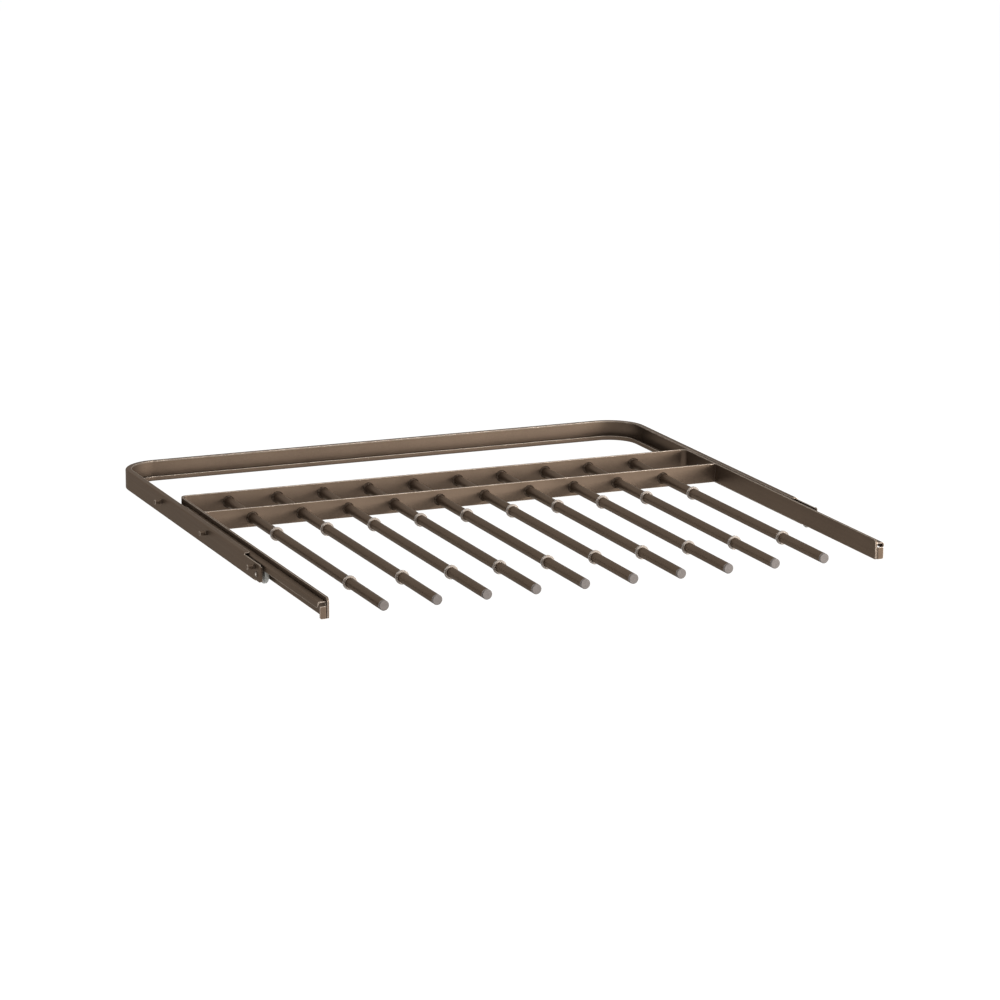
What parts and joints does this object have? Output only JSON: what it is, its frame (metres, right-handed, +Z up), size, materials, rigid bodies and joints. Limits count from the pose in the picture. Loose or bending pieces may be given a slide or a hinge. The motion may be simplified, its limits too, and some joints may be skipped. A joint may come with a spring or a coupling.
{
  "type": "pull out trouser rack",
  "caption": "Pull-out trouser rack: a sliding comb of cantilevered rods with stop rings runs on nylon rollers in a U-shaped channel frame with side bracket pins.",
  "frame": {"origin": "middle of the footprint as stored, the rack partly pulled out, at the level of the front rollers' lowest point", "axes": "+X to the right as seen from the front, +Y towards the closed back of the fixed frame, +Z up; the rack pulls out towards -Y"},
  "size_m": [0.614, 0.607, 0.0247],
  "materials": {
    "bronze_coat": "satin bronze-brown epoxy powder coat",
    "nylon": "natural grey nylon, turned",
    "rivet_steel": "plain steel rivet",
    "cap_plastic": "satin warm grey moulded plastic",
    "clear_ring": "clear soft plastic"
  },
  "bodies": {
    "fixed_frame": {"outer_frame": "bronze_coat", "bracket_pins_left": "bronze_coat", "bracket_pins_right": "bronze_coat", "front_axles": "rivet_steel"},
    "rack": {"inner_frame": "bronze_coat", "cross_bar": "bronze_coat", "slide_rail_left": "bronze_coat", "slide_rail_right": "bronze_coat", "rear_axles": "rivet_steel", "end_caps": "cap_plastic", "rod_01": "bronze_coat", "rod_02": "bronze_coat", "rod_03": "bronze_coat", "rod_04": "bronze_coat", "rod_05": "bronze_coat", "rod_06": "bronze_coat", "rod_07": "bronze_coat", "rod_08": "bronze_coat", "rod_09": "bronze_coat", "rod_10": "bronze_coat", "stop_rings_01": "clear_ring", "stop_rings_02": "clear_ring", "stop_rings_03": "clear_ring", "stop_rings_04": "clear_ring", "stop_rings_05": "clear_ring", "stop_rings_06": "clear_ring", "stop_rings_07": "clear_ring", "stop_rings_08": "clear_ring", "stop_rings_09": "clear_ring", "stop_rings_10": "clear_ring"},
    "roller_front_left": {"front_roller_left": "nylon"},
    "roller_front_right": {"front_roller_right": "nylon"},
    "roller_rear_left": {"rear_roller_left": "nylon"},
    "roller_rear_right": {"rear_roller_right": "nylon"}
  },
  "joints": [
    {"name": "rack_slide", "type": "slide", "parent": "fixed_frame", "child": "rack", "axis": [0, -1, 0], "range_m": [-0.145, 0.215]},
    {"name": "front_roller_left_spin", "type": "hinge", "parent": "fixed_frame", "child": "roller_front_left", "pos_m": [-0.2924, -0.1373, 0.0097], "axis": [1, 0, 0], "continuous": true},
    {"name": "front_roller_right_spin", "type": "hinge", "parent": "fixed_frame", "child": "roller_front_right", "pos_m": [0.2924, -0.1373, 0.0097], "axis": [1, 0, 0], "continuous": true},
    {"name": "rear_roller_left_spin", "type": "hinge", "parent": "rack", "child": "roller_rear_left", "pos_m": [-0.29415, 0.0965, 0.0117], "axis": [1, 0, 0], "continuous": true},
    {"name": "rear_roller_right_spin", "type": "hinge", "parent": "rack", "child": "roller_rear_right", "pos_m": [0.29415, 0.0965, 0.0117], "axis": [1, 0, 0], "continuous": true}
  ],
  "couplings": [
    {"joint": "front_roller_left_spin", "follows": "rack_slide", "rad_per_m": 103.09},
    {"joint": "front_roller_right_spin", "follows": "rack_slide", "rad_per_m": 103.09},
    {"joint": "rear_roller_left_spin", "follows": "rack_slide", "rad_per_m": 114.94},
    {"joint": "rear_roller_right_spin", "follows": "rack_slide", "rad_per_m": 114.94}
  ]
}
